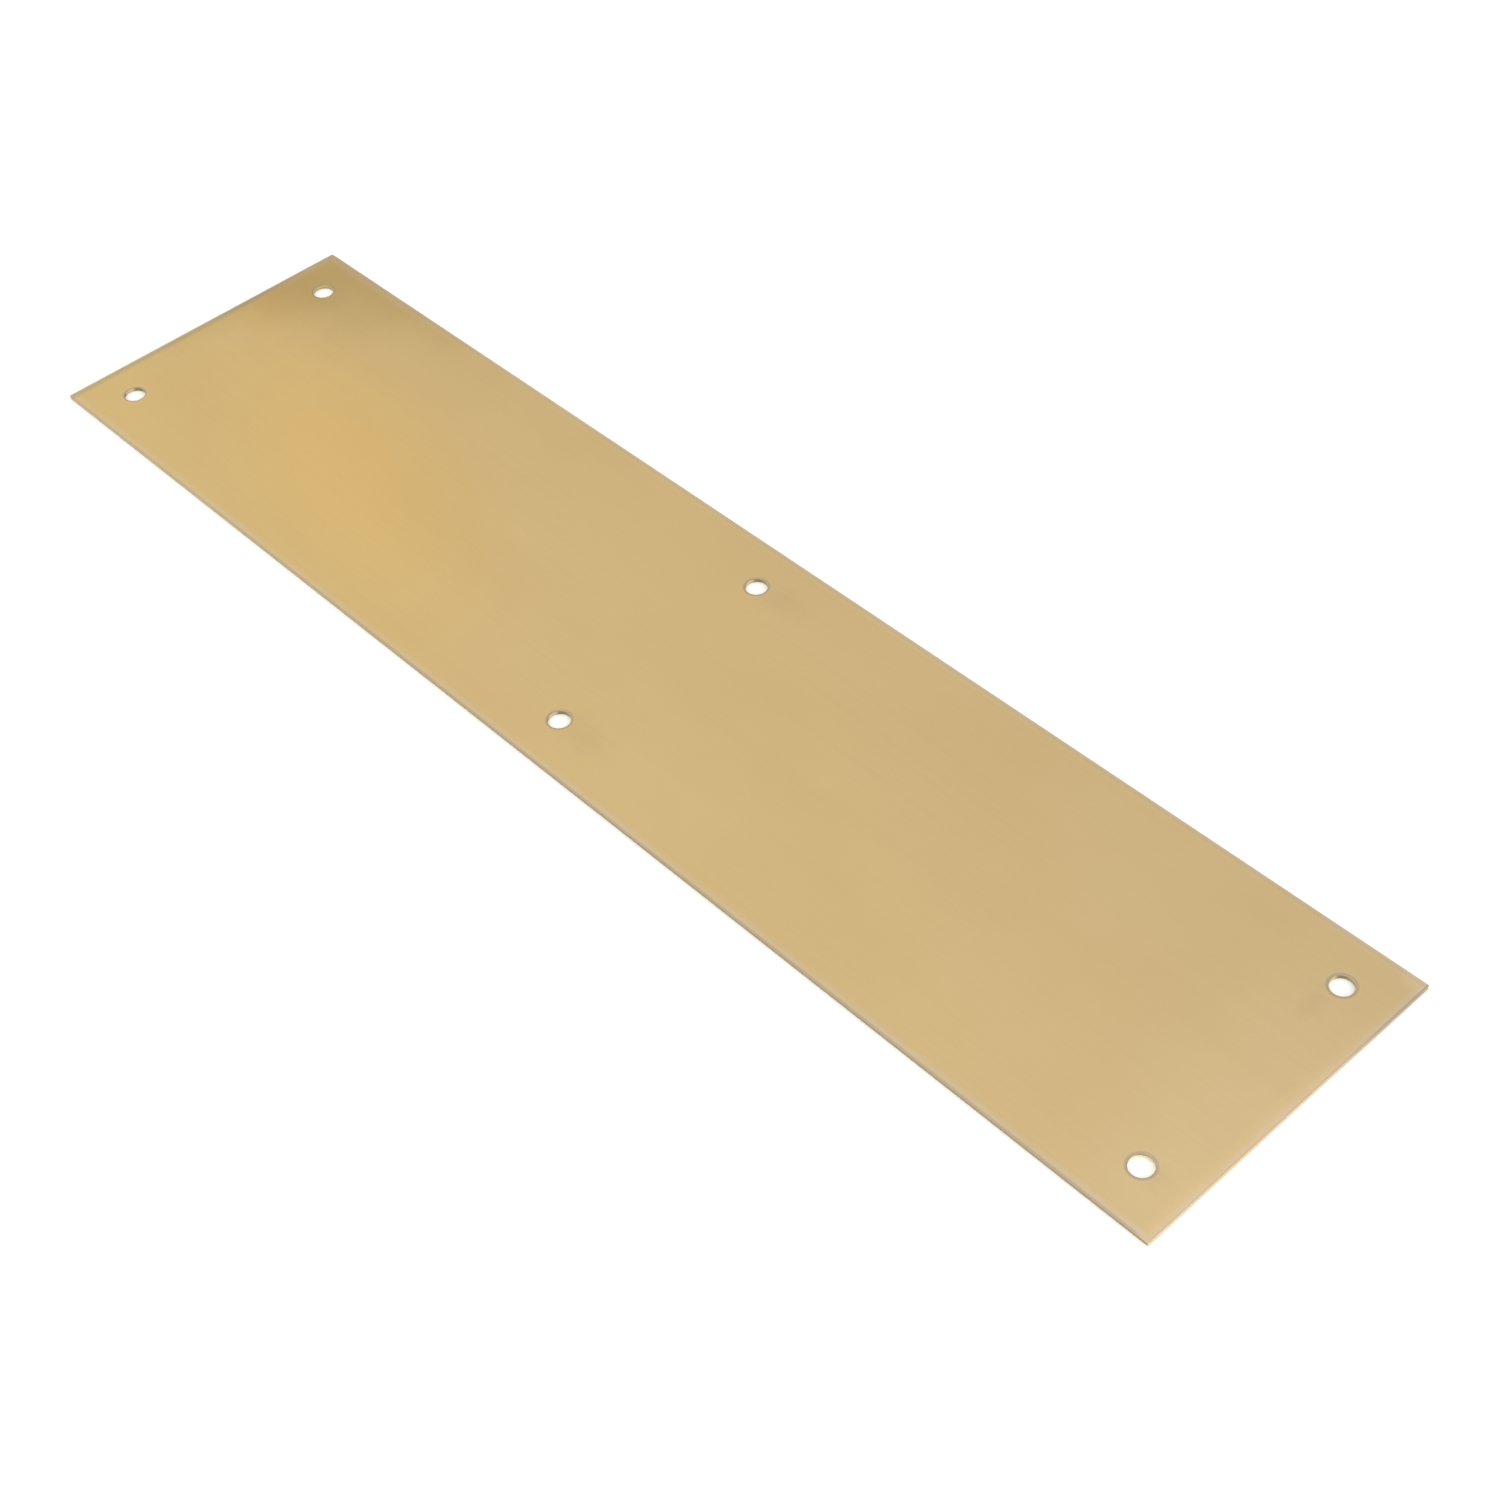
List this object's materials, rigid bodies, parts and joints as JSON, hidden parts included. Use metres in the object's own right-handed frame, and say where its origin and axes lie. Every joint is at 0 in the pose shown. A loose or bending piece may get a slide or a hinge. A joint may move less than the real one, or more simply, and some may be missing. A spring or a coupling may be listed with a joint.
{
  "type": "kick plate",
  "caption": "Flat rectangular sheet-brass door plate with sharp corners and pairs of plain punched screw holes along both long sides.",
  "frame": {"origin": "centre of the flat back, which lies on the door", "axes": "+X along the plate's length, +Y across its width, +Z out of the face, away from the door"},
  "size_m": [0.381, 0.0888, 0.001],
  "materials": {
    "brass_sheet": "satin"
  },
  "bodies": {
    "root": {"plate": "brass_sheet"}
  },
  "joints": []
}
